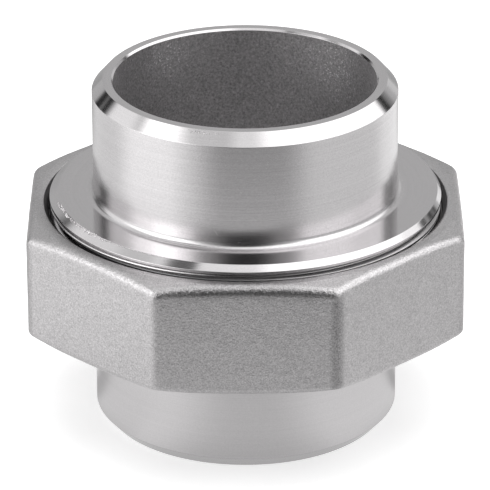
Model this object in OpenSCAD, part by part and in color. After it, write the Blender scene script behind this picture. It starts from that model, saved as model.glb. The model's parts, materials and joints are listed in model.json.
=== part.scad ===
// Weld union: two butt-weld pipe ends drawn together by an octagonal nut.
// Stands on its lower weld end, pipe axis along Z, origin at the middle of that end.

/* [Weld ends] */
// Outside diameter of the pipe stubs
pipe_od = 60.3; // [57:0.1:64]
// Wall of the pipe stubs
pipe_wall = 4.25; // [3.4:0.05:5]
// Width of the flat land left at the tip of each stub
land_w = 2.1; // [1.2:0.05:2.8]
// How far the weld bevel runs along the stub
bevel_h = 2.4; // [1.2:0.1:4]
// Broken edge of the bore at both faces of each end
bore_break = 0.2; // [0.1:0.05:0.4]

/* [Lower end] */
// Length of the lower stub that shows below the nut
tail_stub_h = 22.4; // [12:0.1:40]
// Thickness of the shoulder that the nut's lip pulls on
shoulder_h = 4.5; // [3:0.1:8]
// Fillet between the lower stub and the shoulder
tail_fillet_r = 1; // [0.5:0.1:1.4]
// Bevelled outer edge of the shoulder
shoulder_bevel = 0.8; // [0.3:0.1:1.2]
// Radial room between the shoulder and the nut's thread, which it passes through
shoulder_gap = 0.3; // [0.15:0.05:1]
// Depth of the recess that keeps the seal ring central
recess_depth = 0.8; // [0.4:0.1:1.5]
// Width of the shoulder's rim round that recess
recess_rim_w = 2.2; // [1.6:0.1:3.5]

/* [Seal ring] */
// How far the seal ring stands back from the bore
seal_step = 1.1; // [0.4:0.1:2.5]
// Thickness of the seal ring
seal_h = 1.8; // [1.6:0.1:4]
// Radial room round the seal ring in its recess
seal_gap = 0.2; // [0.1:0.05:0.5]

/* [Threaded end] */
// Length of the upper stub above the collar
head_stub_h = 23.4; // [12:0.1:40]
// Length from the sealing face to the top of the collar
head_body_h = 15.3; // [13.8:0.1:24]
// Radial width of the chamfer round the collar's top
collar_chamfer_w = 1.7; // [0.5:0.1:3]
// Height of the chamfer round the collar's top
collar_chamfer_h = 1.1; // [0.3:0.1:1.8]
// Height of the plain rim below the collar's chamfer
collar_rim_h = 0.6; // [0.3:0.1:2]
// Fillet between the upper stub and the collar
head_fillet_r = 1.2; // [0.5:0.1:3]

/* [Thread] */
// Outside diameter of the male thread and of the collar above it
thread_d = 78; // [74:0.1:84]
// Pitch of the thread
thread_pitch = 2.309; // [1.5:0.001:2.6]
// Radial clearance between the male thread and the nut's thread
thread_gap = 0.15; // [0.05:0.01:0.3]
// Chamfer that leads the male thread into the nut
lead_chamfer = 1; // [0.4:0.1:1.6]

/* [Union nut] */
// Metal between the root of the nut's thread and its flats
nut_wall = 3.75; // [2.5:0.05:9]
// Height of the nut
nut_h = 23; // [18:0.1:23.4]
// Thickness of the lip that pulls on the lower end's shoulder
lip_h = 4.5; // [3:0.1:6]
// Radial room between the lip and the lower stub
lip_gap = 0.6; // [0.3:0.1:1.2]
// Chamfer on both edges of the lip's bore
lip_chamfer = 1.3; // [1.2:0.1:1.5]
// Radius of the eight upright edges
corner_r = 2.2; // [0.5:0.1:6]
// Slope of the turned crown that lowers the corners
crown_angle = 13.5; // [5:0.5:30]
// Width of the flats left outside the level ring of each end face
crown_inset = 1; // [0.3:0.1:1.5]
// Chamfer that opens the mouth of the nut's thread
mouth_chamfer = 1.05; // [0.5:0.05:1.3]
// Extra depth of the relief groove below the nut's thread
relief_depth = 0.4; // [0.2:0.1:0.8]

/* [Hidden] */
$fn = 128;
FLATS = 8;
// Depth of a 55 degree thread as a share of its pitch
THREAD_DEPTH = 0.6403;
eps = 0.01;

pipe_r = pipe_od / 2;
bore_r = pipe_r - pipe_wall;
land_r = bore_r + land_w;
collar_r = thread_d / 2;

// Thread: each side is turned to its root, and stands clear of the other's crest
thread_depth = THREAD_DEPTH * thread_pitch;
male_root_r = thread_d / 2 - thread_depth;
nut_root_r = thread_d / 2 + thread_gap;
nut_crest_r = nut_root_r - thread_depth;
relief_r = nut_root_r + relief_depth;

// Heights, stacked from the lower weld face
nut_z0 = tail_stub_h;
nut_z1 = nut_z0 + nut_h;
shoulder_z0 = nut_z0 + lip_h;
shoulder_z1 = shoulder_z0 + shoulder_h;
seat_z = shoulder_z1 - recess_depth;
head_z0 = seat_z + seal_h;
collar_z1 = head_z0 + head_body_h;
rim_z1 = collar_z1 - collar_chamfer_h;
rim_z0 = rim_z1 - collar_rim_h;
head_z1 = collar_z1 + head_stub_h;
relief_z1 = head_z0 + thread_pitch / 2;

// Shoulder, the seal ring in its recess, and the lip's bore
shoulder_r = nut_crest_r - shoulder_gap;
recess_r = shoulder_r - recess_rim_w;
seal_or = recess_r - seal_gap;
seal_ir = bore_r + seal_step;
lip_r = pipe_r + lip_gap;

// Nut blank
flat_r = nut_root_r + nut_wall;
crown_r = flat_r - crown_inset;
blank_r = flat_r / cos(180 / FLATS) + 1;
crown_drop = (blank_r - crown_r) * tan(crown_angle);
corner_centre_r = (flat_r - corner_r) / cos(180 / FLATS);

// A solid turned about the pipe axis from its half section
module turned(section) {
    rotate_extrude() polygon(section);
}

// The ring of metal that fills an inside corner with a round fillet
module fillet_ring(r, z, fillet_r, up = true) {
    translate([0, 0, z]) mirror([0, 0, up ? 0 : 1]) rotate_extrude()
        translate([r - eps, -eps]) difference() {
            square(fillet_r + eps);
            translate([fillet_r + eps, fillet_r + eps]) circle(fillet_r);
        }
}

// Lower end: plain stub, weld bevel, and the shoulder with the seal's recess
module tail_end() {
    color([0.78, 0.78, 0.77]) {
        turned([
            [bore_r + bore_break, 0],
            [land_r, 0],
            [pipe_r, bevel_h],
            [pipe_r, shoulder_z0],
            [shoulder_r, shoulder_z0],
            [shoulder_r, shoulder_z1 - shoulder_bevel],
            [shoulder_r - shoulder_bevel, shoulder_z1],
            [recess_r, shoulder_z1],
            [recess_r, seat_z],
            [bore_r + bore_break, seat_z],
            [bore_r, seat_z - bore_break],
            [bore_r, bore_break]
        ]);
        fillet_ring(pipe_r, shoulder_z0, tail_fillet_r, up = false);
    }
}

// Flat ring that seals the two machined faces
module seal_ring() {
    color([0.93, 0.92, 0.88])
        turned([
            [seal_ir, seat_z],
            [seal_or, seat_z],
            [seal_or, head_z0],
            [seal_ir, head_z0]
        ]);
}

// Upper end: threaded body, collar, stub and weld bevel
module threaded_end() {
    color([0.72, 0.72, 0.71]) {
        turned([
            [bore_r + bore_break, head_z0],
            [male_root_r - lead_chamfer, head_z0],
            [male_root_r, head_z0 + lead_chamfer],
            [male_root_r, rim_z0],
            [collar_r, rim_z0],
            [collar_r, rim_z1],
            [collar_r - collar_chamfer_w, collar_z1],
            [pipe_r, collar_z1],
            [pipe_r, head_z1 - bevel_h],
            [land_r, head_z1],
            [bore_r + bore_break, head_z1],
            [bore_r, head_z1 - bore_break],
            [bore_r, head_z0 + bore_break]
        ]);
        fillet_ring(pipe_r, collar_z1, head_fillet_r);
    }
}

// Octagon with rounded corners, flats square to X and Y
module rounded_octagon() {
    function corner(k) = corner_centre_r * [cos((k + 0.5) * 45), sin((k + 0.5) * 45)];
    function square_to(k) = corner_r * [cos(k * 45), sin(k * 45)];
    polygon([for (k = [0 : FLATS - 1]) for (side = [0, 1]) corner(k) + square_to(k + side)]);
    for (k = [0 : FLATS - 1]) translate(corner(k)) circle(corner_r);
}

// Nut blank: the octagon, crowned at both ends so that its corners stand lower
module nut_blank() {
    intersection() {
        translate([0, 0, nut_z0]) linear_extrude(nut_h) rounded_octagon();
        turned([
            [0, nut_z0],
            [crown_r, nut_z0],
            [blank_r, nut_z0 + crown_drop],
            [blank_r, nut_z1 - crown_drop],
            [crown_r, nut_z1],
            [0, nut_z1]
        ]);
    }
}

// Everything that is cut away inside the nut, from the lip's bore to the thread's mouth
module nut_cavity() {
    turned([
        [0, nut_z0 - 1],
        [lip_r + lip_chamfer + 1, nut_z0 - 1],
        [lip_r, nut_z0 + lip_chamfer],
        [lip_r, shoulder_z0 - lip_chamfer],
        [lip_r + lip_chamfer, shoulder_z0],
        [relief_r, shoulder_z0],
        [relief_r, relief_z1],
        [nut_root_r, relief_z1 + relief_depth],
        [nut_root_r, nut_z1 - mouth_chamfer],
        [nut_root_r + mouth_chamfer + 1, nut_z1 + 1],
        [0, nut_z1 + 1]
    ]);
}

// Union nut
module union_nut() {
    color([0.66, 0.66, 0.65]) difference() {
        nut_blank();
        nut_cavity();
    }
}

tail_end();
seal_ring();
threaded_end();
union_nut();
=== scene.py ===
"""Weld union: the looks of its two turned pipe ends, its octagonal cast nut and its seal."""
import json
import math

import bpy
from mathutils import Matrix, Vector, noise

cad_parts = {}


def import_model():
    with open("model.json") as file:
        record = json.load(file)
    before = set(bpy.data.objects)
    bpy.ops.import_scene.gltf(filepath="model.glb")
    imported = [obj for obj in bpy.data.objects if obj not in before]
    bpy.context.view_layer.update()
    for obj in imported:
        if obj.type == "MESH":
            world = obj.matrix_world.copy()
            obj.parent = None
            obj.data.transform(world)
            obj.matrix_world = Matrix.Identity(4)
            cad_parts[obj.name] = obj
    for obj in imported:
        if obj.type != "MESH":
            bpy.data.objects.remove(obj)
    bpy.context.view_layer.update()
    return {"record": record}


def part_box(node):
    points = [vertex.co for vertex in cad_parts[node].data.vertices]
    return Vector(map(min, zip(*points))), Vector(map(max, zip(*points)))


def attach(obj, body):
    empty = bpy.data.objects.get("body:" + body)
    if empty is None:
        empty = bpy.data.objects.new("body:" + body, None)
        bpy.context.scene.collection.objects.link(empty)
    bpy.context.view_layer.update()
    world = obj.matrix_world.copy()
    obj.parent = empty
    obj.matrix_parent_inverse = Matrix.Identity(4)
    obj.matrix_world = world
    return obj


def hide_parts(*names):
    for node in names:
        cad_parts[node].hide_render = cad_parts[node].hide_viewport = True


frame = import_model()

# Sizes in millimetres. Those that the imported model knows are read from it. The others repeat the source, or
# are fitted to the photo where it shows what the plain solids don't have.
MM = 0.001
RECORD = frame["record"]


def mount(name):
    """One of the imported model's mounts."""
    return next(m for m in RECORD["mounts"] if m["name"] == name)


def heights(node):
    """Where a solid starts and ends in height."""
    low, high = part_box(node)
    return low.z / MM, high.z / MM


def widest(node):
    """How far a solid reaches from the pipe axis."""
    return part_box(node)[1].x / MM


PIPE_R = mount("upper_stub")["dims"]["r_mm"]
BORE_R = mount("upper_bore")["dims"]["r_mm"]
COLLAR_R = widest("threaded_end")
SHOULDER_R = widest("tail_end")
SEAL_R = widest("seal_ring")
FLAT_R = widest("union_nut")
TAIL_Z0, TAIL_Z1 = heights("tail_end")
SEAL_Z0, SEAL_Z1 = heights("seal_ring")
HEAD_Z0, HEAD_Z1 = heights("threaded_end")
NUT_Z0, NUT_Z1 = heights("union_nut")
PITCH = RECORD["behaviour"]["couplings"][0]["ratio"] * 2 * math.pi / MM

# Weld ends
LAND_R = BORE_R + 2.1
BEVEL_H = 2.4
BORE_BREAK = 0.38

# Lower end and seal
SHOULDER_Z0 = 26.9
SHOULDER_BEVEL = 0.8
TAIL_FILLET_R = 1.0
RECESS_R = 35.17
SEAL_BORE_R = 27.0

# Collar. Its chamfer was cut off centre by the shift, and burrs stand on its upper edge on the left.
COLLAR_TOP = 47.7
RIM_Z1 = 46.6
RIM_Z0 = 46.0
RIM_R = COLLAR_R - 0.15
COLLAR_CHAMFER_W = 1.25
COLLAR_CHAMFER_SHIFT = 0.5
CHAMFER_TOP_LEFT = RIM_R - 1.62
HEAD_FILLET_R = 1.35

# Plain neck below the rim, and the ring that ends the thread
NECK_R = 37.75
NECK_MORE_LEFT = 0.4
RING_R = 38.2
RING_MORE_RIGHT = 0.6
RING_MORE_LEFT = 0.2
RING_Z0 = 43.9
RING_Z1 = 44.6
RING_LEAD = 0.4
RING_SLOPE_H = 0.5
RING_SLOPE_SHIFT = 0.15

# Thread. The crest is the height at which the male ridge's middle crosses a direction at the front left.
MALE_ROOT_R = 37.52
LEAD_CHAMFER = 1.0
THREAD_DEPTH = RIM_R - MALE_ROOT_R
CREST_GAP = 0.03
CREST_TURN = math.radians(-110)
CREST_Z = 45.52
MALE_THREAD_Z0 = 33.9
MALE_THREAD_Z1 = CREST_Z + 0.32
NUT_THREAD_Z0 = 34.6
NUT_THREAD_Z1 = 43.6

# The thread's ridge: width at base and crest, rounding, how deep it is sunk into the core, how it fades at
# both ends, over a part of a turn and from a share of its size, and its steps a turn
RIDGE_BASE = 1.90
RIDGE_CREST = 0.44
RIDGE_ROUNDING = 0.34
RIDGE_SUNK = 0.12
RIDGE_FADE_TURNS = 0.12
RIDGE_FADE_FROM = 0.05
RIDGE_STEPS = 120

# Nut. Its crown starts at CROWN_R, or CROWN_LEAST inside the flats where that is nearer the axis. Its fall at
# the flats counts from CROWN_LEVEL_R. The cast skin sinks by up to SKIN_DEPTH, with a point every SKIN_STEP.
FLATS = 8
NUT_ROOT_R = 39.15
NUT_CREST_R = 37.67
RELIEF_R = 39.55
RELIEF_Z1 = 33.55
LIP_R = 30.75
LIP_CHAMFER = 1.3
MOUTH_CHAMFER = 1.05
MOUTH_ROUNDING = 0.5
NUT_CORNER_R = 2.8
NUT_EDGE_R = 2.15
NUT_FOOT_R = 1.3
CROWN_R = 41.9
CROWN_LEAST = 2.0
CROWN_LEVEL_R = 42.65
CROWN_SLOPE = 1.2 * math.tan(math.radians(13.5))
CROWN_ROUNDING = 0.5
SKIN_DEPTH = 0.11
SKIN_STEP = 1.0

# The skin's waves: their length, their share of the depth, and where in the noise they start
SKIN_WAVES = ((11.0, 0.35, (0, 0, 0)), (3.2, 0.16, (7, 1, 4)), (1.1, 0.12, (2, 9, 5)))

# Roundings from BIG_ROUNDING on get more steps and the finish of the edge that follows. Two arcs take up to
# ARC_SHARE of the stretch between them. A guard point stands GUARD from each arc's end, or GUARD_SHARE of the
# stretch where that is less.
BIG_ROUNDING = 0.8
ARC_SHARE = 0.94
GUARD = 0.06
GUARD_SHARE = 0.02

# How much darker the casting is along each upright corner, anticlockwise from the one between the +X and +X+Y
# flats.
# This reaches the width given next to either side, and the pair after it says how far below the upper edge it
# starts and where it is full.
CORNER_DARKENING = (0.5, 0.2, 0.6, 0.3, 0.7, 0.0, 1.25, 0.3)
CORNER_DARK_W = 1.55
CORNER_DARK_FROM_TOP = (0.6, 2.0)

# Painted shade on the crown beside the mouth at the front left, darkest at the gap under the collar: middle
# direction, half width, reach and strength. It ends at the depth given next below the top.
MOUTH_SHADE = (math.radians(-146), math.radians(38), 2.3, 1.4)
MOUTH_SHADE_DEPTH = 0.6

# A painted dark reflection along the front flat's upper edge: the same four numbers
FRONT_EDGE_REFLECTION = (math.radians(-90), math.radians(20), 1.9, 1.0)

# How far wear, with its painted highlight, reaches from the nut's upper edge, lower edge and mouth
WORN_LIT_TOP, WORN_LIT_FOOT, WORN_LIT_MOUTH = 1.5, 0.9, 0.5

# Chips of metal: how far one jogs from its place, least and most, its least and most size along three axes as
# shares of the size asked for, and how far it may turn (radians)
CHIP_JOG = ((-1.2, -1.2, -0.03), (1.2, 1.2, 0.02))
CHIP_SHARES = ((0.4, 0.3, 0.2), (1.6, 1.0, 0.6))
CHIP_TURN = (6.3, 6.3, 6.3)

# Tints as red, green and blue
STEEL_TINT = (1.0, 0.977, 0.988)
BORE_TINT = (1.0, 0.977, 0.990)
SEAL_TINT = (1.0, 0.985, 0.945)

# Two spots round which the bore's cast skin is brighter, as place and reach, and where painted shade darkens
# the neck, and how dark
BRIGHT_SPOTS = (((-15.9, 20.4, 67.5), 8), ((18.5, 18.1, 65.5), 10))
NECK_PAINTED_SHADE = ((-33, -20, 45), 45, 0.93)

# Studio: radius of the floor and of the tent, the floor's paint, its speckle and the specks to the metre, the
# light that lifts it to white for the camera, and the strength of the soft fill
FLOOR_R = 6000
TENT_R = 1500
FLOOR_PAINT = 0.79
FLOOR_SPECKLE = 0.02
FLOOR_SPECKS = 300
FLOOR_LIFT = 0.6
SOFT_FILL = 0.45

# Camera, in metres but for the lens and the sensor (mm). Elevation and roll were fitted to the photo's edges.
LENS, SENSOR_W = 322.6, 36.0
CAMERA_AWAY = 0.87625
CAMERA_AIM = Vector((-0.000108, 0, 0.03493))
CAMERA_ELEVATION = math.radians(24.196)
CAMERA_ROLL = math.radians(-0.19)
CAMERA_CLIP = (0.05, 20.0)


# Shader values

class Value:
    """A number that varies over a surface. Python's operators on it add the Math nodes."""

    def __init__(self, finish, socket):
        self.finish, self.socket = finish, socket

    def maths(self, operation, *values):
        return self.finish.node("ShaderNodeMath", {"operation": operation}, values)

    def __add__(self, other):
        return self.maths("ADD", self, other)

    def __sub__(self, other):
        return self.maths("SUBTRACT", self, other)

    def __rsub__(self, other):
        return self.maths("SUBTRACT", other, self)

    def __mul__(self, other):
        return self.maths("MULTIPLY", self, other)

    def __pow__(self, other):
        return self.maths("POWER", self, other)

    __radd__, __rmul__ = __add__, __mul__

    def root(self):
        return self.maths("SQRT", self)

    def size(self):
        return self.maths("ABSOLUTE", self)

    def most(self, other):
        return self.maths("MAXIMUM", self, other)

    def ramp(self, low, high):
        """0 below low, 1 above high and smooth between them; falls instead where low is above high."""
        return self.finish.node("ShaderNodeMapRange", {"interpolation_type": "SMOOTHSTEP"},
                                {"Value": self, "From Min": low, "From Max": high})


class Finish:
    """A material, or the world, and the nodes it is made of."""

    def __init__(self, name, family="materials"):
        self.owner = getattr(bpy.data, family).new(name)
        self.owner.use_nodes = True
        self.tree = self.owner.node_tree
        self.tree.nodes.clear()

    def node(self, kind, settings=None, inputs=None, out=0):
        """Any node, from its type, settings and inputs."""
        node = self.tree.nodes.new(kind)
        for key, value in (settings or {}).items():
            setattr(node, key, value)
        named = inputs.items() if isinstance(inputs, dict) else enumerate(inputs or ())
        for key, value in named:
            if isinstance(value, Value):
                self.tree.links.new(value.socket, node.inputs[key])
            else:
                node.inputs[key].default_value = value
        return Value(self, node.outputs[out]) if len(node.outputs) else None

    def place(self):
        """x, y and z on the piece, in metres."""
        spot = self.node("ShaderNodeTexCoord", out="Object")
        return [self.node("ShaderNodeSeparateXYZ", None, [spot], out=k) for k in range(3)]

    def vector(self, x, y, z):
        return self.node("ShaderNodeCombineXYZ", None, [x, y, z])

    def noise(self, vector, detail=2.0, roughness=0.5, **more):
        """Noise from 0 to 1 with cells one unit wide."""
        settings = {"noise_dimensions": "4D" if "W" in more else "3D"}
        return self.node("ShaderNodeTexNoise", settings,
                         {"Vector": vector, "Scale": 1.0, "Detail": detail, "Roughness": roughness, **more})

    def grain(self, width, **more):
        """Even noise with cells of a width in millimetres."""
        x, y, z = self.place()
        k = 1 / (width * MM)
        return self.noise(self.vector(x * k, y * k, z * k), **more)

    def near(self, spot, reach):
        """1 at a spot on the piece, falling softly to 0 at its reach (millimetres)."""
        squares = 0
        for here, there in zip(self.place(), spot):
            squares = (here - there * MM) ** 2 + squares
        return squares.root().ramp(reach * MM, 0)

    def ray(self, *kinds):
        """1 for rays of one of these kinds and 0 for others."""
        seen, *others = [self.node("ShaderNodeLightPath", out=f"Is {kind} Ray") for kind in kinds]
        for other in others:
            seen = seen.most(other)
        return seen

    def grey(self, value, tint=STEEL_TINT):
        """A near neutral colour from one brightness."""
        return self.node("ShaderNodeCombineColor", None, [value * part for part in tint])

    def bump(self, height, depth, under=None):
        """A normal from a height between 0 and 1, where 1 stands depth millimetres proud."""
        inputs = {"Height": height, "Distance": depth * MM, "Strength": 1.0}
        if under is not None:
            inputs["Normal"] = under
        return self.node("ShaderNodeBump", None, inputs)

    def surface(self, **inputs):
        """Ends the nodes in a Principled surface. Its inputs are named with _ for a space."""
        named = {key.replace("_", " "): value for key, value in inputs.items()}
        return self.close(self.node("ShaderNodeBsdfPrincipled", None, named))

    def close(self, shader, output="ShaderNodeOutputMaterial"):
        """Ends the nodes in a shader, and gives the finished material or world."""
        self.node(output, None, [shader])
        return self.owner


# Finishes

def lathe_lines(f, spacing, length, detail=3.0):
    """The fine rings that a lathe leaves. They follow the turning and fade in and out along it."""
    x, y, z = f.place()
    r = (x * x + y * y).root()
    k, slow = 1 / (spacing * MM), 1 / (length * MM)
    return f.noise(f.vector(r * k, z * k, x * slow), detail=detail, roughness=0.6, W=y * slow)


def scratches(f, width, length, tilt, rare):
    """Thin straight scratches that lean by a tilt from level, where rare is how few there are."""
    x, y, z = f.place()
    c, s = math.cos(tilt), math.sin(tilt)
    along, across = x * c + z * s, z * c - x * s
    k, slow = 1 / (width * MM), 1 / (length * MM)
    return f.noise(f.vector(along * slow, y * slow, across * k), detail=1.0).ramp(rare, rare + 0.06)


def turned_steel(name, polish, tone=0.585, lines=0.004, marks=1.0, shade_spot=None):
    """Turned stainless steel. Polish is its roughness, lines the depth of the tool marks, and marks how far
    they show in its tone. A shade spot, if given, is painted shade: a place, its reach and how dark it is."""
    f = Finish(name)
    fine = lathe_lines(f, 0.22, 60)
    broad = lathe_lines(f, 0.7, 200, detail=2.0)
    speck = f.grain(0.28, detail=2.0, roughness=0.6)
    smudge = f.grain(9, detail=3.0, roughness=0.55)
    scuff = scratches(f, 0.14, 6, 0.5, 0.74).most(scratches(f, 0.12, 5, -0.9, 0.75))
    shade = 0.26 * (fine - 0.5) + 0.05 * (broad - 0.5) + 0.34 * (speck - 0.5)
    bright = tone * (1 + marks * shade + 0.02 * (smudge - 0.5)) - 0.03 * scuff
    if shade_spot:
        # Painted shade: the tone darkens round the spot.
        place, reach, darkness = shade_spot
        bright = bright * (1 - darkness * f.near(place, reach))
    rough = polish * (0.75 + 0.25 * fine + 0.35 * smudge) + 0.05 * scuff
    normal = f.bump(f.grain(11, detail=1.0), 0.02)
    normal = f.bump(fine, lines, normal)
    return f.surface(Base_Color=f.grey(bright), Metallic=1.0, Roughness=rough, Normal=normal)


def cast_bore():
    """The rough cast skin left inside the bores: dark, finely speckled, and brighter round two spots near its
    upper end.
    """
    f = Finish("cast bore")
    coarse = f.grain(1.5, detail=3.0, roughness=0.6)
    fine = f.grain(0.45, detail=2.0, roughness=0.7)
    # Brighter, with more specks, round two given spots near the bore's upper end.
    bright_spot = f.near(*BRIGHT_SPOTS[0]).most(f.near(*BRIGHT_SPOTS[1]))
    glint = f.grain(0.40, detail=1.0, roughness=0.6).ramp(0.56, 0.74)
    bright = 0.48 + 0.07 * bright_spot + 0.82 * (fine - 0.5) + glint * (0.10 + 0.55 * bright_spot)
    rough = 0.40 + 0.12 * coarse
    normal = f.bump(coarse, 0.07)
    normal = f.bump(fine, 0.06, normal)
    return f.surface(Base_Color=f.grey(bright, BORE_TINT), Metallic=1.0, Roughness=rough, Normal=normal)


def blasted_casting():
    """Stainless casting after bead blasting: an even matt grain over faint unevenness, with darker smudges.
    The piece's own attributes say where its edges are rubbed, with a painted highlight, and where it is
    painted darker."""
    f = Finish("blasted casting")
    dimple = f.grain(0.27, detail=1.0, roughness=0.6)
    blot = f.grain(0.55, detail=2.0, roughness=0.6)
    pit = f.grain(1.5, detail=3.0, roughness=0.6)
    cloud = f.grain(7, detail=4.0, roughness=0.6)
    stain = f.grain(5, detail=4.0, roughness=0.65, Distortion=0.6).ramp(0.58, 0.78)
    worn_and_highlit, painted_shade_and_darkening = [f.node("ShaderNodeAttribute", {"attribute_name": name}, out="Fac")
                  for name in ("worn_and_highlit", "painted_shade_and_darkening")]
    # Rubbed edges: smoother from wear, and lighter in tone as a painted highlight.
    rub_and_highlight = worn_and_highlit * f.grain(0.7, detail=3.0, roughness=0.7).ramp(0.34, 0.56)
    # The second attribute darkens the tone: painted shade beside the mouth, a painted dark reflection on the
    # front flat's upper edge, and darker upright corners.
    bright = (0.47 + 0.46 * (dimple - 0.5) + 0.14 * (blot - 0.5) + 0.06 * (pit - 0.5)
              + 0.05 * (cloud - 0.5) - 0.04 * stain - 0.14 * painted_shade_and_darkening * (0.4 + 1.2 * blot) + 0.04 * rub_and_highlight)
    rough = 0.33 + 0.05 * pit + 0.04 * stain - 0.04 * rub_and_highlight
    normal = f.bump(cloud, 0.12)
    normal = f.bump(pit, 0.06, normal)
    normal = f.bump(blot, 0.05, normal)
    normal = f.bump(dimple, 0.04, normal)
    normal = f.bump(rub_and_highlight, 0.04, normal)
    return f.surface(Base_Color=f.grey(bright), Metallic=1.0, Roughness=rough, Normal=normal)


def seal_plastic():
    """White sealing plastic, slightly waxy, with faint turning marks."""
    f = Finish("seal plastic")
    lines = lathe_lines(f, 0.35, 25)
    speck = f.grain(0.8, detail=2.0)
    bright = 0.80 + 0.05 * lines + 0.04 * (speck - 0.5)
    return f.surface(Base_Color=f.grey(bright, SEAL_TINT), Roughness=0.42 + 0.1 * speck,
                     Normal=f.bump(lines, 0.006))


# Turned pieces

def new_piece(name, vertices, faces, finishes, face_finish=None):
    """A smooth mesh piece from points in millimetres, with a finish for each face."""
    mesh = bpy.data.meshes.new(name)
    mesh.from_pydata([(x * MM, y * MM, z * MM) for x, y, z in vertices], [], faces)
    for finish in finishes:
        mesh.materials.append(finish)
    mesh.polygons.foreach_set("use_smooth", [True] * len(faces))
    if face_finish:
        mesh.polygons.foreach_set("material_index", face_finish)
    mesh.update()
    piece = bpy.data.objects.new(name, mesh)
    bpy.context.scene.collection.objects.link(piece)
    return piece


def rounded(section, steps=6):
    """Rounds the corners of a closed half section, given as r, z, rounding and the finish of the edge that
    follows. It sets a guard point on each side of an arc, so that the flat stretches shade flat."""
    count = len(section)
    spots = [Vector(corner[:2]) for corner in section]
    wanted, halves = [], []
    for k, (_, _, rounding, _) in enumerate(section):
        halves.append((spots[k - 1] - spots[k]).angle(spots[(k + 1) % count] - spots[k]) / 2)
        wanted.append(rounding / math.tan(halves[k]))
    points = []
    for k, (_, _, rounding, finish) in enumerate(section):
        here, want, last, after = spots[k], wanted[k], section[k - 1][3], (k + 1) % count
        back, ahead = spots[k - 1] - here, spots[after] - here
        reach = want * min(1, ARC_SHARE * back.length / (want + wanted[k - 1]),
                           ARC_SHARE * ahead.length / (want + wanted[after]))
        start, end = here + back.normalized() * reach, here + ahead.normalized() * reach
        near = back.normalized() * min(GUARD, GUARD_SHARE * back.length)
        far = ahead.normalized() * min(GUARD, GUARD_SHARE * ahead.length)
        middle = (back.normalized() + ahead.normalized()).normalized()
        centre = here + middle * (reach / math.cos(halves[k]))
        spoke, sweep = start - centre, (start - centre).angle_signed(end - centre, 0.0)
        fine = steps if rounding < BIG_ROUNDING else 2 * steps
        arc = finish if rounding >= BIG_ROUNDING else last
        points.append((*(start + near), last))
        for step in range(fine + 1):
            c, s = math.cos(sweep * step / fine), math.sin(sweep * step / fine)
            points.append((centre.x + c * spoke.x + s * spoke.y, centre.y + c * spoke.y - s * spoke.x,
                           arc if step < fine else finish))
        points.append((*(end + far), finish))
    return points


def wrapped(name, turns, rings, finishes):
    """A closed skin through outlines that stand at directions round the pipe axis. Each outline runs
    anticlockwise as seen with r to the right, and all have the same count of (r, z, finish)."""
    count = len(rings[0])
    vertices = [(r * math.cos(turn), r * math.sin(turn), z)
                for turn, ring in zip(turns, rings) for r, z, _ in ring]
    faces, face_finish = [], []
    for k in range(len(rings)):
        a, b = k * count, (k + 1) % len(rings) * count
        for i, (_, _, finish) in enumerate(rings[0]):
            j = (i + 1) % count
            faces.append((a + i, b + i, b + j, a + j))
            face_finish.append(finish)
    return new_piece(name, vertices, faces, finishes, face_finish)


def turned(name, section, finishes, segments=384):
    """A closed half section, given for each direction, turned about the pipe axis."""
    turns = [2 * math.pi * k / segments for k in range(segments)]
    return wrapped(name, turns, [rounded(section(turn)) for turn in turns], finishes)


def lower_end(finishes):
    """Lower end: a plain stub with its weld bevel, and the shoulder whose recess holds the seal."""
    stub, edge, bore, face = range(4)
    return turned("lower_end_turned", lambda turn: [
        (BORE_R + BORE_BREAK, TAIL_Z0, 0.05, face),
        (LAND_R, TAIL_Z0, 0.10, edge),
        (PIPE_R, TAIL_Z0 + BEVEL_H, 0.15, stub),
        (PIPE_R, SHOULDER_Z0, TAIL_FILLET_R, face),
        (SHOULDER_R, SHOULDER_Z0, 0.15, face),
        (SHOULDER_R, TAIL_Z1 - SHOULDER_BEVEL, 0.08, edge),
        (SHOULDER_R - SHOULDER_BEVEL, TAIL_Z1, 0.08, face),
        (RECESS_R, TAIL_Z1, 0.08, face),
        (RECESS_R, SEAL_Z0, 0.10, face),
        (BORE_R + BORE_BREAK, SEAL_Z0, 0.05, edge),
        (BORE_R, SEAL_Z0 - BORE_BREAK, 0.05, bore),
        (BORE_R, TAIL_Z0 + BORE_BREAK, 0.05, edge),
    ], finishes)


def chamfer_width(turn):
    """Radial width of the collar's chamfer. It was cut off centre, and is narrowest on the right."""
    return COLLAR_CHAMFER_W - COLLAR_CHAMFER_SHIFT * math.cos(turn)


def ring_reach(turn):
    """Radius of the plain ring that ends the thread below the collar. It reaches further on the right."""
    side = math.cos(turn)
    return RING_R + (RING_MORE_RIGHT if side > 0 else -RING_MORE_LEFT) * side


def ring_slope_top(turn):
    """Height at which the slope from that ring meets the neck. It is higher on the right."""
    return RING_Z1 + RING_SLOPE_H + RING_SLOPE_SHIFT * math.cos(turn)


def neck_reach(turn):
    """Radius of the plain neck between that ring and the collar. It is shallow on the left."""
    return NECK_R + NECK_MORE_LEFT * max(0.0, -math.cos(turn))


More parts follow.
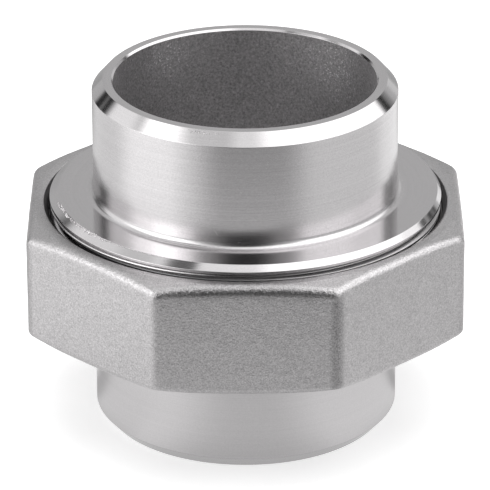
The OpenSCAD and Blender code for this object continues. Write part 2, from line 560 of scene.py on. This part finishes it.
def upper_end(finishes):
    """Upper end: the threaded body's core, the collar with its chamfered rim, the stub and its weld bevel."""
    stub, edge, bore, face, neck = range(5)
    return turned("upper_end_turned", lambda turn: [
        (BORE_R + BORE_BREAK, HEAD_Z0, 0.05, face),
        (MALE_ROOT_R - LEAD_CHAMFER, HEAD_Z0, 0.10, edge),
        (MALE_ROOT_R, HEAD_Z0 + LEAD_CHAMFER, 0.10, face),
        (MALE_ROOT_R, RING_Z0, 0.15, neck),
        (ring_reach(turn), RING_Z0 + RING_LEAD, 0.15, neck),
        (ring_reach(turn), RING_Z1, 0.2, neck),
        (neck_reach(turn), ring_slope_top(turn), 0.3, neck),
        (neck_reach(turn), RIM_Z0, 0.08, face),
        (RIM_R, RIM_Z0, 0.12, face),
        (RIM_R, RIM_Z1, 0.10, edge),
        (RIM_R - chamfer_width(turn), COLLAR_TOP, 0.12, face),
        (PIPE_R, COLLAR_TOP, HEAD_FILLET_R, stub),
        (PIPE_R, HEAD_Z1 - BEVEL_H, 0.12, edge),
        (LAND_R, HEAD_Z1, 0.10, face),
        (BORE_R + BORE_BREAK, HEAD_Z1, 0.06, edge),
        (BORE_R, HEAD_Z1 - BORE_BREAK, 0.06, bore),
        (BORE_R, HEAD_Z0 + BORE_BREAK, 0.05, edge),
    ], finishes)


def seal(finishes):
    """The flat seal ring."""
    return turned("seal_ring_face", lambda turn: [
        (SEAL_BORE_R, SEAL_Z0, 0.12, 0),
        (SEAL_R, SEAL_Z0, 0.12, 0),
        (SEAL_R, SEAL_Z1, 0.12, 0),
        (SEAL_BORE_R, SEAL_Z1, 0.12, 0),
    ], finishes, segments=256)


# The cast nut

def flats_reach(turn):
    """Radius of the nut's rounded octagon in a direction."""
    half = math.pi / FLATS
    off = abs((turn % (2 * half)) - half)
    centre = (FLAT_R - NUT_CORNER_R) / math.cos(half)
    meet = math.atan2(NUT_CORNER_R * math.sin(half), centre + NUT_CORNER_R * math.cos(half))
    if off < meet:
        return centre * math.cos(off) + math.sqrt(NUT_CORNER_R ** 2 - (centre * math.sin(off)) ** 2)
    return FLAT_R / math.cos(half - off)


def nut_turns(flat_steps=70, corner_steps=14, near=math.radians(1.6)):
    """Directions round the nut, closer together near its eight corners."""
    half = math.pi / FLATS
    turns = []
    for flat in range(FLATS):
        middle = flat * 2 * half
        turns += [middle + (half - near) * (2 * k / flat_steps - 1) for k in range(flat_steps)]
        turns += [middle + half + near * (2 * k / corner_steps - 1) for k in range(corner_steps)]
    return turns


def crown(reach):
    """Where the crown starts and how far it falls at the flats."""
    start = min(CROWN_R, reach - CROWN_LEAST)
    return start, (reach - CROWN_LEVEL_R) * CROWN_SLOPE


def nut_section(reach):
    """Closed half section of the nut in a direction where its flats stand at reach."""
    start, drop = crown(reach)
    cast, cut = 0, 1
    return [
        (LIP_R, NUT_Z0 + LIP_CHAMFER, 0.1, cut),
        (LIP_R + LIP_CHAMFER, NUT_Z0, 0.2, cast),
        (start, NUT_Z0, CROWN_ROUNDING, cast),
        (reach, NUT_Z0 + drop, NUT_FOOT_R, cast),
        (reach, NUT_Z1 - drop, NUT_EDGE_R, cast),
        (start, NUT_Z1, CROWN_ROUNDING, cast),
        (NUT_ROOT_R + MOUTH_CHAMFER, NUT_Z1, MOUTH_ROUNDING, cut),
        (NUT_ROOT_R, NUT_Z1 - MOUTH_CHAMFER, 0.08, cut),
        (NUT_ROOT_R, RELIEF_Z1 + RELIEF_R - NUT_ROOT_R, 0.08, cut),
        (RELIEF_R, RELIEF_Z1, 0.08, cut),
        (RELIEF_R, SHOULDER_Z0, 0.15, cut),
        (LIP_R + LIP_CHAMFER, SHOULDER_Z0, 0.1, cut),
        (LIP_R, SHOULDER_Z0 - LIP_CHAMFER, 0.1, cut),
    ]


def stretches(ring, widest_gap):
    """Into how many pieces each stretch of the casting's outline is cut."""
    cuts = []
    for k, (r, z, finish) in enumerate(ring):
        r1, z1, _ = ring[(k + 1) % len(ring)]
        cuts.append(max(1, round(math.hypot(r1 - r, z1 - z) / widest_gap)) if finish == 0 else 1)
    return cuts


def cut_up(ring, cuts):
    """The same outline with its long stretches cut into pieces."""
    full = []
    for k, (r, z, finish) in enumerate(ring):
        r1, z1, _ = ring[(k + 1) % len(ring)]
        full += [(r + (r1 - r) * i / cuts[k], z + (z1 - z) * i / cuts[k], finish) for i in range(cuts[k])]
    return full


def paint(piece, name, values):
    """Gives a piece a number at each of its points, for its finish to read."""
    piece.data.attributes.new(name, "FLOAT", "POINT").data.foreach_set("value", values)


def edge_wear_and_highlight(reach, r, z):
    """How much handling has rubbed the casting's outer edges, from 0 to 1. The finish also lightens them
    there as a painted highlight.
    """
    _, drop = crown(reach)
    top = math.hypot(r - reach, z - (NUT_Z1 - drop)) / WORN_LIT_TOP
    foot = math.hypot(r - reach, z - (NUT_Z0 + drop)) / WORN_LIT_FOOT
    mouth = math.hypot(r - NUT_ROOT_R - MOUTH_CHAMFER, z - NUT_Z1) / WORN_LIT_MOUTH
    return max(0.0, 1 - min(top, foot, mouth) ** 2)


def aside(turn, middle, half):
    """How far a direction is from a middle one, where 1 is half the width away."""
    return abs((turn - middle + math.pi) % (2 * math.pi) - math.pi) / half


def mouth_painted_shade(turn, r, z):
    """How much shade is painted on the crown beside the mouth, most of all at the mouth's edge."""
    middle, half, width, strength = MOUTH_SHADE
    off, out = aside(turn, middle, half), (r - NUT_ROOT_R - MOUTH_CHAMFER) / width
    if off > 1 or not 0 <= out <= 1 or z < NUT_Z1 - MOUTH_SHADE_DEPTH:
        return 0.0
    return strength * (1 - off * off) * (1 - out)


def front_painted_reflection(turn, reach, r, z):
    """How dark the painted reflection on the front flat's upper edge is."""
    middle, half, width, strength = FRONT_EDGE_REFLECTION
    away = math.hypot(r - reach, z - (NUT_Z1 - crown(reach)[1] - NUT_EDGE_R / 2)) / width
    return strength * max(0.0, 1 - aside(turn, middle, half) ** 4) * max(0.0, 1 - away * away)


def corner_darkening(turn, reach, z):
    """How much darker the upright corners are, below the upper edge."""
    step = 2 * math.pi / FLATS
    place = (turn % (2 * math.pi)) / step
    corner = int(place) % FLATS
    off = abs(place - corner - 0.5) * step * FLAT_R / CORNER_DARK_W
    least, full = CORNER_DARK_FROM_TOP
    below = min(1.0, max(0.0, (NUT_Z1 - crown(reach)[1] - z - least) / (full - least)))
    return CORNER_DARKENING[corner] * below * max(0.0, 1 - off * off)


def shade_and_darkening_at(turn, reach, r, z):
    """How dark the casting is made at a point, by the strongest of the three: darker corners, painted shade
    by the mouth and a painted reflection on the front edge.
    """
    return max(corner_darkening(turn, reach, z), mouth_painted_shade(turn, r, z),
               front_painted_reflection(turn, reach, r, z))


def unevenness(spot):
    """How far the casting's skin lies below its nominal face, from 0 to 1 (spot in millimetres)."""
    deep = 0.5
    for length, share, start in SKIN_WAVES:
        deep += share * noise.noise(spot / length + Vector(start))
    return min(1.0, max(0.0, deep))


def sink(piece, soft, depth):
    """Lets the casting's skin lie unevenly, always inwards, by up to depth millimetres."""
    mesh = piece.data
    spots = []
    for vertex, cast in zip(mesh.vertices, soft):
        spot = vertex.co.copy()
        if cast:
            spot -= vertex.normal * (depth * MM * unevenness(vertex.co / MM))
        spots.extend(spot)
    mesh.vertices.foreach_set("co", spots)
    mesh.update()


def nut(finishes):
    """The octagonal nut: cast and blasted outside, turned inside."""
    turns = nut_turns()
    reaches = [flats_reach(turn) for turn in turns]
    cuts = stretches(rounded(nut_section(FLAT_R), steps=5), SKIN_STEP)
    rings = [cut_up(rounded(nut_section(reach), steps=5), cuts) for reach in reaches]
    piece = wrapped("nut_casting", turns, rings, finishes)
    spots = [(turn, reach, r, z)
             for turn, reach, ring in zip(turns, reaches, rings) for r, z, _ in ring]
    # Rubbed outer edges: wear, with a painted highlight in the tone.
    paint(piece, "worn_and_highlit", [edge_wear_and_highlight(reach, r, z) for _, reach, r, z in spots])
    # Darker where shade is painted beside the mouth, where a reflection is painted on the front flat's upper
    # edge, and along the upright corners.
    paint(piece, "painted_shade_and_darkening", [shade_and_darkening_at(*spot) for spot in spots])
    cast = [ring[i][2] == 0 and ring[i - 1][2] == 0 for ring in rings for i in range(len(ring))]
    sink(piece, cast, SKIN_DEPTH)
    return piece


# Threads, by Geometry Nodes

class Recipe:
    """A Geometry Nodes tree with named inputs, and the mesh it makes."""

    def __init__(self, name):
        self.tree = bpy.data.node_groups.new(name, "GeometryNodeTree")
        self.tree.interface.new_socket("Geometry", in_out="OUTPUT", socket_type="NodeSocketGeometry")
        self.name, self.sizes = name, {}

    def size(self, name, value, kind="NodeSocketFloat"):
        """A named input of the tree, and the value that it gets."""
        socket = self.tree.interface.new_socket(name, in_out="INPUT", socket_type=kind)
        self.sizes[socket.identifier] = value
        group = self.tree.nodes.new("NodeGroupInput")
        return group.outputs[name]

    def node(self, kind, settings=None, inputs=None, out=0):
        """Any node, from its type, settings and inputs."""
        node = self.tree.nodes.new(kind)
        for key, value in (settings or {}).items():
            setattr(node, key, value)
        for key, value in (inputs or {}).items():
            if isinstance(value, bpy.types.NodeSocket):
                self.tree.links.new(value, node.inputs[key])
            else:
                node.inputs[key].default_value = value
        return node.outputs[out]

    def maths(self, operation, *values):
        return self.node("ShaderNodeMath", {"operation": operation}, dict(enumerate(values)))

    def vectors(self, operation, *values, **more):
        named = {**dict(enumerate(values)), **more}
        return self.node("ShaderNodeVectorMath", {"operation": operation}, named)

    def cast(self, name, geometry, finish):
        """Runs the tree once and keeps the plain mesh that it gives."""
        real = self.node("GeometryNodeRealizeInstances", None, {"Geometry": geometry})
        dressed = self.node("GeometryNodeSetMaterial", None, {"Geometry": real, "Material": finish})
        output = self.tree.nodes.new("NodeGroupOutput")
        self.tree.links.new(dressed, output.inputs[0])
        holder = bpy.data.objects.new(name, bpy.data.meshes.new(self.name))
        bpy.context.scene.collection.objects.link(holder)
        modifier = holder.modifiers.new(self.name, "NODES")
        modifier.node_group = self.tree
        for identifier, value in self.sizes.items():
            modifier[identifier] = value
        graph = bpy.context.evaluated_depsgraph_get()
        mesh = bpy.data.meshes.new_from_object(holder.evaluated_get(graph))
        holder.modifiers.clear()
        holder.data = mesh
        mesh.name = name
        return holder


def thread(name, finish, root_r, height, low, high, phase_z):
    """A thread's ridge along its helix, from low to high. A ridge of negative height stands inwards. Its
    middle crosses the direction CREST_TURN at phase_z."""
    turns = (high - low) / PITCH
    start = CREST_TURN + (low - phase_z) / PITCH * 2 * math.pi
    r = Recipe(name + "_ridge")
    radius = r.size("Root radius", root_r * MM)
    rise = r.size("Height", (high - low) * MM)
    spiral = r.node("GeometryNodeCurveSpiral", None, {
        "Resolution": RIDGE_STEPS, "Rotations": r.size("Turns", turns), "Start Radius": radius,
        "End Radius": radius, "Height": rise, "Reverse": True})
    path = r.node("GeometryNodeTransform", None, {
        "Geometry": spiral, "Translation": (0, 0, low * MM), "Rotation": (0, 0, start)})
    path = r.node("GeometryNodeSetCurveNormal", {"mode": "Z_UP"}, {"Curve": path})
    outwards = math.copysign(1, height)
    shape = r.node("GeometryNodeCurvePrimitiveQuadrilateral", {"mode": "TRAPEZOID"}, {
        "Height": (abs(height) + RIDGE_SUNK) * MM, "Bottom Width": RIDGE_BASE * MM,
        "Top Width": RIDGE_CREST * MM, "Offset": 0.0})
    shape = r.node("GeometryNodeFilletCurve", {"mode": "POLY"}, {
        "Curve": shape, "Count": 5, "Radius": RIDGE_ROUNDING * MM, "Limit Radius": True})
    shape = r.node("GeometryNodeTransform", None, {
        "Geometry": shape, "Rotation": (0, 0, -math.pi / 2 * outwards),
        "Translation": (outwards * (abs(height) - RIDGE_SUNK) / 2 * MM, 0, 0)})
    along = r.node("GeometryNodeSplineParameter")
    from_end = r.maths("MINIMUM", along, r.maths("SUBTRACT", 1.0, along))
    fade = r.node("ShaderNodeMapRange", None, {
        "Value": from_end, "From Min": 0.0, "From Max": RIDGE_FADE_TURNS / turns,
        "To Min": RIDGE_FADE_FROM, "To Max": 1.0})
    ridge = r.node("GeometryNodeCurveToMesh", None, {
        "Curve": path, "Profile Curve": shape, "Scale": fade, "Fill Caps": True})
    return r.cast(name, r.node("GeometryNodeSetShadeSmooth", None, {"Geometry": ridge}), finish)


def burrs(name, finish, radius, z, middle, half, count, seed, spread, fall, size):
    """Tiny chips of metal along a turned edge, up to half to either side of a middle direction, in degrees
    from the camera side. Spread is how far they stray outwards, and fall how fast the face drops there."""
    r = Recipe(name + "_chips")
    arc = r.node("GeometryNodeCurveArc", {"mode": "RADIUS"}, {
        "Resolution": 64, "Radius": r.size("Edge radius", radius * MM),
        "Start Angle": math.radians(middle - half - 90), "Sweep Angle": math.radians(2 * half)})
    arc = r.node("GeometryNodeTransform", None, {"Geometry": arc, "Translation": (0, 0, z * MM)})
    spots = r.node("GeometryNodeCurveToPoints", {"mode": "COUNT"}, {"Curve": arc, "Count": r.size(
        "How many", count, "NodeSocketInt")})
    seed = r.size("Seed", seed, "NodeSocketInt")
    least, most = [[step * MM for step in jog] for jog in CHIP_JOG]
    jog = r.node("FunctionNodeRandomValue", {"data_type": "FLOAT_VECTOR"}, {0: least, 1: most, "Seed": seed})
    stray = r.node("FunctionNodeRandomValue", {"data_type": "FLOAT"}, {
        2: 0.0, 3: spread * MM, "Seed": seed}, out=1)
    spots = r.node("GeometryNodeSetPosition", None, {"Geometry": spots, "Offset": jog})
    flat = r.vectors("MULTIPLY", r.node("GeometryNodeInputPosition"), (1, 1, 0))
    out = r.vectors("NORMALIZE", flat)
    back = r.vectors("SCALE", out, Scale=r.maths("ADD", stray, radius * MM))
    down = r.node("ShaderNodeCombineXYZ", None, {"Z": r.maths("MULTIPLY_ADD", stray, -fall, z * MM)})
    spots = r.node("GeometryNodeSetPosition", None, {
        "Geometry": spots, "Position": r.vectors("ADD", back, down)})
    chip = r.node("GeometryNodeMeshIcoSphere", None, {"Radius": MM, "Subdivisions": 1})
    turn = r.node("FunctionNodeRandomValue", {"data_type": "FLOAT_VECTOR"}, {0: (0, 0, 0), 1: CHIP_TURN})
    least, most = [[size * share for share in shares] for shares in CHIP_SHARES]
    shape = r.node("FunctionNodeRandomValue", {"data_type": "FLOAT_VECTOR"}, {
        0: least, 1: most, "Seed": seed})
    chips = r.node("GeometryNodeInstanceOnPoints", None, {
        "Points": spots, "Instance": chip, "Rotation": turn, "Scale": shape})
    return r.cast(name, chips, finish)


# Studio

def disc(name, radius, z, finish, segments=96):
    """A level round plate."""
    return new_piece(name, [(radius * math.cos(2 * math.pi * k / segments),
                             radius * math.sin(2 * math.pi * k / segments), z) for k in range(segments)],
                     [tuple(range(segments))], [finish])


def round_the_union(f):
    """Direction and elevation in degrees, and distance in millimetres, of a spot seen from the pipe axis."""
    x, y, z = f.place()
    out = (x * x + y * y).root()
    azimuth = f.node("ShaderNodeMath", {"operation": "ARCTAN2"}, [x, 0 - y]) * math.degrees(1)
    elevation = f.node("ShaderNodeMath", {"operation": "ARCTAN2"}, [z, out]) * math.degrees(1)
    return azimuth, elevation, out * (1 / MM)


def cards(azimuth, level, base, table):
    """Brightness of a row of cards. Each has a name, a middle direction and half a width in degrees, its
    reach from and to on the other scale, its brightness, and how soft its edges are on either scale. A later
    card covers the earlier ones."""
    light = 0 * level + base
    for _, middle, half, low, high, bright, soft, blur in table:
        off = azimuth.maths("WRAP", azimuth - middle, 180.0, -180.0).size()
        inside = (off.ramp(half + soft / 2, half - soft / 2)
                  * level.ramp(low - blur / 2, low + blur / 2) * level.ramp(high + blur / 2, high - blur / 2))
        light = light + (bright - light) * inside
    return light


def glow(f, strength):
    """White light given off."""
    return f.node("ShaderNodeEmission", None, {"Color": (1, 1, 1, 1), "Strength": strength})


# What gloss sees on the floor: name, middle, half width, distance from and to (mm), brightness, soft edges
FAR = 9999
FLOOR_BASE = 1.0
FLOOR_CARDS = (
    ("far back", 180, 42, 140, FAR, 0.44, 8, 80),
    ("left back", -125, 22, 120, FAR, 0.94, 20, 30),
    ("right back", 128, 24, 120, FAR, 1.18, 16, 30),
    ("left board", -70, 24, 136, FAR, 1.42, 20, 12),
    ("left board, near", -73, 24, 86, 136, 1.21, 20, 14),
    ("right board", 70, 42, 80, FAR, 0.88, 20, 30),
    ("front", 5, 33, 140, FAR, 0.46, 26, 12),
    ("left foot", -140, 14, 100, 131, 0.35, 8, 10),
    ("right foot", 140, 14, 100, 131, 0.38, 8, 10),
    ("far front", 0, 36, 255, FAR, 0.04, 26, 50),
    ("left seam, far", -130, 8, 260, FAR, 0.05, 4, 60),
    ("right seam, far", 131, 7, 260, FAR, 0.05, 4, 60),
    ("front, middle", 0, 33, 82, 122, 0.75, 26, 14),
    ("front, upper middle", 0, 33, 122, 140, 0.90, 26, 14),
    ("left, near", -76, 22, 0, 60, 0.92, 10, 14),
    ("front, near", 3, 27, 0, 82, 0.77, 34, 14),
    ("left side, near", -101, 8, 0, 56, 0.50, 10, 10),
    ("right side, near", 104, 6, 0, 56, 0.45, 8, 10),
    # The two foot cards darken the floor round the object's foot for gloss alone: a painted shadow, seen in
    # the reflections.
    ("front foot", 0, 32, 0, 42, 0.66, 40, 10),
    ("foot", 0, 181, 0, 32, 0.60, 1, 10),
)


def floor():
    """Pale floor that keeps the object's shadow. The camera sees it lifted to white, and gloss its cards."""
    f = Finish("pale floor")
    speck = f.noise(f.vector(*(length * FLOOR_SPECKS for length in f.place())))
    paint = f.node("ShaderNodeBsdfDiffuse", None, [f.grey(FLOOR_PAINT + FLOOR_SPECKLE * speck, (1, 1, 1))])
    lift = glow(f, f.ray("Camera", "Transmission") * FLOOR_LIFT)
    lifted = f.node("ShaderNodeAddShader", None, [paint, lift])
    azimuth, _, out = round_the_union(f)
    mirrored = glow(f, cards(azimuth, out, FLOOR_BASE, FLOOR_CARDS))
    material = f.close(f.node("ShaderNodeMixShader", None, [f.ray("Glossy"), lifted, mirrored]))
    disc("pale_floor", FLOOR_R, 0, material)


# Light tent that only gloss sees: name, middle, half width, elevation from and to (degrees), brightness, soft
# edges. Direction 0 is towards the camera and left is negative.
TENT_BASE = 0.60
TENT_CARDS = (
    ("overhead", 0, 181, 54, 120, 1.22, 1, 8),
    ("back", 180, 34, 36, 60, 0.85, 26, 12),
    ("low back", 180, 24, -20, 13, 0.50, 10, 8),
    ("low right back", 153, 6, -20, 18, 0.78, 5, 5),
    ("right overhead", 76, 58, 45, 80, 1.95, 26, 8),
    ("left overhead", -49, 36, 44, 66, 0.88, 20, 7),
    ("left back overhead", -124, 16, 33, 64, 1.05, 5, 6),
    ("left gap, back", -106, 12, 52, 66, 0.85, 8, 6),
    ("left gap", -72, 13, 62, 79, 0.17, 10, 5),
    ("right wall", 86, 42, -20, 16, 0.66, 6, 6),
    ("right softbox", 87, 46, 18, 74, 2.1, 10, 8),
    ("right softbox, foot", 103, 18, 16, 27, 1.5, 14, 6),
    ("left wall", -90, 41, -20, 38, 1.25, 6, 6),
    ("left softbox", -67, 27, 10, 52, 2.45, 14, 8),
    ("left lamp", -62, 10, 16, 30, 3.9, 10, 8),
    ("camera side", 0, 21, -20, 57, 0.01, 26, 8),
    ("left seam, low", -130, 8, -14, 14, 0.03, 4, 4),
    ("left seam", -137, 4.5, 5, 17, 0.03, 5, 4),
    ("right seam, low", 131, 7, -14, 11, 0.03, 4, 4),
    ("right seam", 136, 4, 6, 17, 0.33, 5, 4),
    ("right seam, foot", 122, 3, 11, 17, 0.12, 3, 3),
    ("left seam, top", -133, 8, 17, 31, 0.02, 8, 4),
    ("right seam, top", 131, 4.5, 15, 29, 0.02, 6, 5),
    ("right seam, end", 143.5, 2.6, 21, 28, 0.02, 2, 2),
)


def tent():
    """A dome of cards round the object."""
    f = Finish("tent cards")
    azimuth, elevation, _ = round_the_union(f)
    material = f.close(glow(f, cards(azimuth, elevation, TENT_BASE, TENT_CARDS)))
    columns, rows = 96, 24
    vertices = []
    for row in range(rows):
        up = math.pi / 2 * row / rows
        for column in range(columns):
            side = 2 * math.pi * column / columns
            vertices.append((TENT_R * math.cos(up) * math.cos(side), TENT_R * math.cos(up) * math.sin(side),
                             TENT_R * math.sin(up)))
    vertices.append((0, 0, TENT_R))

    def at(row, column):
        return row * columns + column % columns

    faces = [(at(row, column), at(row, column + 1), at(row + 1, column + 1), at(row + 1, column))
             for row in range(rows - 1) for column in range(columns)]
    faces += [(at(rows - 1, column), at(rows - 1, column + 1), rows * columns) for column in range(columns)]
    piece = new_piece("light_tent", vertices, faces, [material])
    piece.visible_camera = piece.visible_diffuse = piece.visible_shadow = False
    piece.visible_transmission = piece.visible_volume_scatter = False


def world():
    """White all round for the camera and for gloss, and a soft fill for the rest."""
    f = Finish("soft fill", "worlds")
    seen = f.ray("Camera", "Glossy", "Transmission")
    strength = f.node("ShaderNodeMapRange", None, {"Value": seen, "To Min": SOFT_FILL, "To Max": 1.0})
    sky = f.node("ShaderNodeBackground", None, {"Strength": strength})
    bpy.context.scene.world = f.close(sky, "ShaderNodeOutputWorld")


def lamp(name, place, aim, width, watts):
    """A big soft area lamp. Gloss sees the tent's cards in its place."""
    data = bpy.data.lights.new(name, "AREA")
    data.shape, data.size, data.energy = "DISK", width, watts
    piece = bpy.data.objects.new(name, data)
    bpy.context.scene.collection.objects.link(piece)
    piece.location = place
    piece.rotation_euler = (Vector(aim) - Vector(place)).to_track_quat("-Z", "Y").to_euler()
    piece.visible_glossy = False


def camera():
    """The photograph's view: a long lens from a little above."""
    data = bpy.data.cameras.new("camera")
    data.lens, data.sensor_width = LENS, SENSOR_W
    data.clip_start, data.clip_end = CAMERA_CLIP
    piece = bpy.data.objects.new("camera", data)
    bpy.context.scene.collection.objects.link(piece)
    piece.rotation_mode = "XYZ"
    back = Vector((0, -math.cos(CAMERA_ELEVATION), math.sin(CAMERA_ELEVATION)))
    piece.location = CAMERA_AIM + back * CAMERA_AWAY
    turn = (CAMERA_AIM - piece.location).to_track_quat("-Z", "Y").to_matrix().to_4x4()
    turn = turn @ Matrix.Rotation(CAMERA_ROLL, 4, "Z")
    piece.rotation_euler = turn.to_euler()
    bpy.context.scene.camera = piece


# The whole

def rides(piece, body, slot, *nodes):
    """Says which body a piece moves with, and the nodes that it stands in for. Its slot is not used."""
    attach(piece, body)
    if nodes:
        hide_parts(*nodes)


camera()
bpy.context.scene.view_settings.view_transform = "Standard"

stub_steel = turned_steel("turned stub", 0.23)
tail_steel = turned_steel("turned tail stub", 0.34, marks=0.6)
edge_steel = turned_steel("turned edge", 0.10, lines=0.0025, marks=0.5)
face_steel = turned_steel("turned face", 0.12, lines=0.0025, marks=0.4)
thread_steel = turned_steel("cut thread", 0.22, tone=0.56)
# The neck is darker than the other turned faces, and its spot darkens it further at the front left: painted
# shade under the collar's rim.
shaded_neck_steel = turned_steel("cut neck with painted shade", 0.28, tone=0.46, shade_spot=NECK_PAINTED_SHADE)
# The burrs are real chips, but their tone, lighter than the steel's, is a painted highlight along the
# collar's upper edge.
highlit_burr_steel = turned_steel("burrs", 0.45, tone=0.80)
# The nut's cut faces inside and its thread get a very dark tone: painted shade for the deep gap between
# collar and nut.
shaded_nut_steel = turned_steel("cut nut with painted shade", 0.30, tone=0.20)
bore_skin = cast_bore()
casting = blasted_casting()

upper_finishes = [stub_steel, edge_steel, bore_skin, face_steel, shaded_neck_steel]
rides(lower_end([tail_steel, edge_steel, bore_skin, face_steel]), "lower_end", "machined_steel", "tail_end")
rides(seal([seal_plastic()]), "lower_end", "seal", "seal_ring")
rides(upper_end(upper_finishes), "upper_end", "machined_steel", "threaded_end")
rides(nut([casting, shaded_nut_steel]), "nut", "cast_steel", "union_nut")
rides(thread("male_thread", thread_steel, MALE_ROOT_R, THREAD_DEPTH - CREST_GAP,
             MALE_THREAD_Z0, MALE_THREAD_Z1, CREST_Z), "upper_end", "machined_steel")
rides(thread("nut_thread", shaded_nut_steel, NUT_ROOT_R, NUT_CREST_R - NUT_ROOT_R,
             NUT_THREAD_Z0, NUT_THREAD_Z1, CREST_Z + PITCH / 2), "nut", "cast_steel")

# Chips: name, finish, radius, height, middle and half (degrees), count, seed, spread, fall and size
CHIPS = (
    ("collar_burrs", highlit_burr_steel, CHAMFER_TOP_LEFT, COLLAR_TOP, -61, 16, 90, 4, 0.5, 0.6, 0.21),
    ("collar_edge_burrs", highlit_burr_steel, CHAMFER_TOP_LEFT + 0.1, COLLAR_TOP, -40, 16, 170, 6, 0.12, 0.3, 0.11),
    ("bevel_nick", edge_steel, LAND_R + 0.26, HEAD_Z1 - 0.3, -17, 5, 34, 9, 0.3, 1.1, 0.16),
)
for chips in CHIPS:
    rides(burrs(*chips), "upper_end", "machined_steel")

floor()
tent()
world()
lamp("overhead lamp", place=(0.05, -0.1, 1.2), aim=(0, 0, 0), width=1.4, watts=13)
